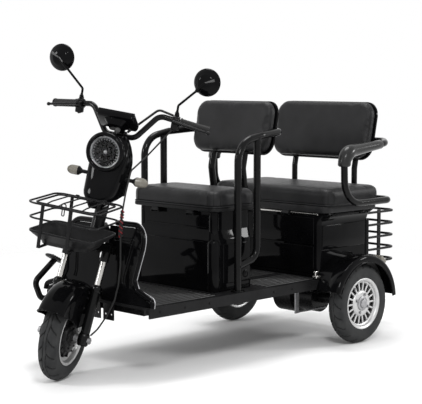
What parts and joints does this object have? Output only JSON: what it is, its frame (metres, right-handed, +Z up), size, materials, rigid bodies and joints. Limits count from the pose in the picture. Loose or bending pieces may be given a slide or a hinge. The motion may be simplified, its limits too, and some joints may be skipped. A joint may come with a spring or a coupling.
{
  "type": "electric tricycle",
  "caption": "Three-wheeled electric tricycle with a driver's seat, a rear passenger bench, a front basket, guard rails and a rear rack; it steers and its seats and basket lid open.",
  "frame": {"origin": "on the ground below the middle of the whole part's box, steering as parked", "axes": "+X forward, +Y to the vehicle's left, +Z up"},
  "size_m": [2.056, 0.908, 1.3665],
  "materials": {
    "frame_black": "satin black powder coat",
    "floor_plastic": "ribbed matte black",
    "body_black": "gloss black",
    "battery_case": "matte case",
    "seat_leather": "soft grained black",
    "tube_black": "gloss black",
    "pad_grey": "smooth dark grey",
    "rack_black": "black",
    "lamp_red": "ribbed red lens",
    "plain_steel": "zinc",
    "bright_trim": "bright",
    "grip_rubber": "ribbed",
    "mirror": "mirror",
    "clear_lens": "clear",
    "amber_lens": "smoked",
    "cable_black": "black sheath",
    "tyre": "road tyre",
    "wheel_silver": "silver cast"
  },
  "bodies": {
    "chassis": {"frame": "frame_black", "floor_pan": "floor_plastic", "leg_shield": "body_black", "driver_box": "body_black", "battery_pack": "battery_case", "driver_backrest": "seat_leather", "backrest_shells": "body_black", "guard_rails": "tube_black", "rear_box": "body_black", "rear_backrest": "seat_leather", "backrest_posts": "tube_black", "rear_armrests": "tube_black", "armrest_pads": "pad_grey", "rear_fenders": "body_black", "rear_rack": "rack_black", "tail_lamps": "lamp_red", "rear_axle": "frame_black", "leaf_springs": "frame_black", "brake_pedal": "frame_black", "brake_linkage": "plain_steel"},
    "driver_seat": {"driver_pan": "floor_plastic", "driver_cushion": "seat_leather"},
    "rear_seat": {"rear_pan": "floor_plastic", "rear_cushion": "seat_leather"},
    "steering": {"fork": "tube_black", "fork_tubes": "bright_trim", "front_axle": "plain_steel", "front_fender": "body_black", "handlebar": "tube_black", "grips": "grip_rubber", "levers": "frame_black", "mirrors": "body_black", "mirror_glass": "mirror", "dash": "body_black", "nose_panel": "body_black", "headlight": "body_black", "headlight_lens": "clear_lens", "turn_signals": "amber_lens", "basket_wire": "rack_black", "basket_tray": "floor_plastic", "brake_cable": "cable_black"},
    "lid": {"basket_lid": "rack_black"},
    "front_wheel": {"front_tyre": "tyre", "front_rim": "wheel_silver"},
    "left_wheel": {"left_tyre": "tyre", "left_rim": "wheel_silver"},
    "right_wheel": {"right_tyre": "tyre", "right_rim": "wheel_silver"}
  },
  "joints": [
    {"name": "steering_turn", "type": "hinge", "parent": "chassis", "child": "steering", "pos_m": [0.85583, 0, 0], "axis": [-0.342, 0, 0.9397], "range_deg": [-70, 14]},
    {"name": "front_wheel_spin", "type": "hinge", "parent": "steering", "child": "front_wheel", "pos_m": [0.82915, 0.02, 0.1833], "axis": [-0.4412, 0.8829, -0.1606], "continuous": true},
    {"name": "left_wheel_spin", "type": "hinge", "parent": "chassis", "child": "left_wheel", "pos_m": [-0.59617, 0.396, 0.185], "axis": [0, 1, 0], "continuous": true},
    {"name": "right_wheel_spin", "type": "hinge", "parent": "chassis", "child": "right_wheel", "pos_m": [-0.59617, -0.396, 0.185], "axis": [0, 1, 0], "continuous": true},
    {"name": "driver_seat_tip", "type": "hinge", "parent": "chassis", "child": "driver_seat", "pos_m": [0.20483, 0, 0.644], "axis": [0, 1, 0], "range_deg": [0, 55]},
    {"name": "basket_lid_open", "type": "hinge", "parent": "steering", "child": "lid", "pos_m": [0.72047, 0.06556, 0.73241], "axis": [0.4412, -0.8829, 0.1606], "range_deg": [0, 95]},
    {"name": "rear_seat_tip", "type": "hinge", "parent": "chassis", "child": "rear_seat", "pos_m": [-0.41617, 0, 0.598], "axis": [0, 1, 0], "range_deg": [0, 80]}
  ]
}
